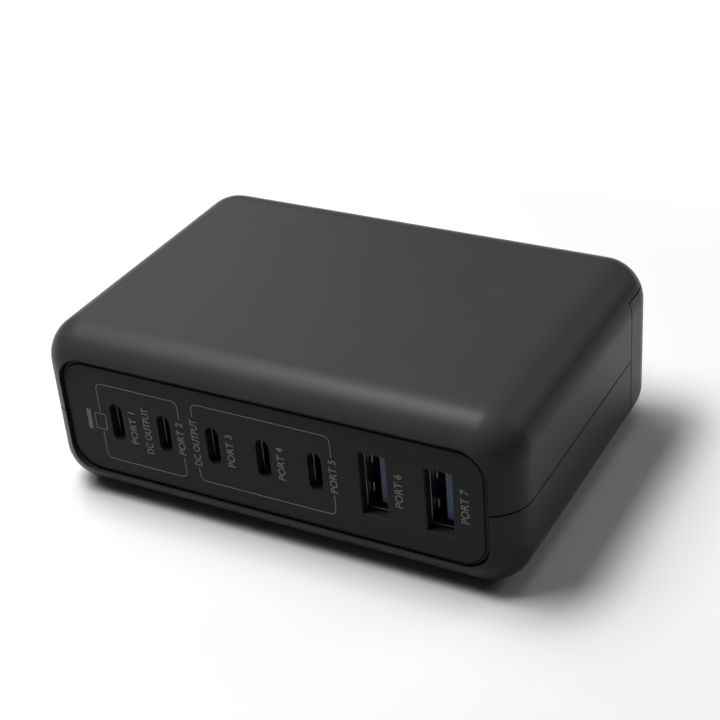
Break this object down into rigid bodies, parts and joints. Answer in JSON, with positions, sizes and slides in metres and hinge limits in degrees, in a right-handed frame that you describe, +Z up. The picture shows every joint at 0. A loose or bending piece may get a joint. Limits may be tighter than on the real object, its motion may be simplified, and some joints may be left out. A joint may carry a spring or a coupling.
{
  "type": "multi port usb desktop charger",
  "caption": "Rounded box mains charger: clamshell housing with a rear cover and inlet, and a recessed front panel of upright USB-C and USB-A sockets beside a status light.",
  "frame": {"origin": "middle of the footprint, on the surface that the feet stand on", "axes": "+X to the right as the ports are faced, +Y from the ports to the back, +Z up"},
  "size_m": [0.102, 0.0718, 0.0371],
  "materials": {
    "housing_plastic": "fine satin texture",
    "panel_plastic": "smooth satin",
    "light_window": "frosted, clear bar",
    "light_chip": "small chip",
    "socket_steel": "bright rolled sheet",
    "tongue_black": "plain",
    "tongue_purple": "plain",
    "tongue_blue": "plain",
    "contact_gold": "gold plated",
    "board_green": "glass-epoxy board",
    "insulating_film": "thin film",
    "screw_steel": "zinc plated",
    "black_plastic": "moulded",
    "pin_brass": "nickel plated",
    "fuse_body": "moulded",
    "film_capacitor": "moulded box",
    "ferrite": "fired ferrite",
    "copper_wire": "enamelled winding",
    "capacitor_can": "sleeved can",
    "spreader_aluminium": "plain sheet",
    "pad_silicone": "soft pad",
    "foot_rubber": "matt",
    "panel_print": "thin printed ink"
  },
  "bodies": {
    "root": {"upper_housing": "housing_plastic", "lower_housing": "housing_plastic", "rear_cover": "housing_plastic", "front_panel": "panel_plastic", "status_light_pipe": "light_window", "status_light_chip": "light_chip", "usb_c_shell_1": "socket_steel", "usb_c_shell_2": "socket_steel", "usb_c_shell_3": "socket_steel", "usb_c_shell_4": "socket_steel", "usb_c_shell_5": "socket_steel", "usb_a_shell_1": "socket_steel", "usb_a_shell_2": "socket_steel", "usb_c_tongue_1": "tongue_black", "usb_c_tongue_2": "tongue_black", "usb_c_tongue_3": "tongue_black", "usb_c_tongue_4": "tongue_black", "usb_c_tongue_5": "tongue_black", "usb_a_tongue_1": "tongue_purple", "usb_a_tongue_2": "tongue_blue", "usb_c_contacts": "contact_gold", "usb_a_contacts": "contact_gold", "port_board": "board_green", "main_board": "board_green", "insulating_sheet": "insulating_film", "board_screws": "screw_steel", "board_header": "black_plastic", "power_inlet": "black_plastic", "bridge_rectifier": "black_plastic", "power_transistors": "black_plastic", "control_chips": "black_plastic", "inlet_pins": "pin_brass", "fuse": "fuse_body", "x_capacitor": "film_capacitor", "choke_core": "ferrite", "pfc_core": "ferrite", "transformer_core": "ferrite", "buck_inductors": "ferrite", "choke_winding": "copper_wire", "pfc_winding": "copper_wire", "transformer_winding": "copper_wire", "bulk_capacitor_1": "capacitor_can", "bulk_capacitor_2": "capacitor_can", "output_capacitors": "capacitor_can", "heat_spreader": "spreader_aluminium", "thermal_pads": "pad_silicone", "foot_strip_front": "foot_rubber", "foot_strip_rear": "foot_rubber"}
  },
  "joints": []
}
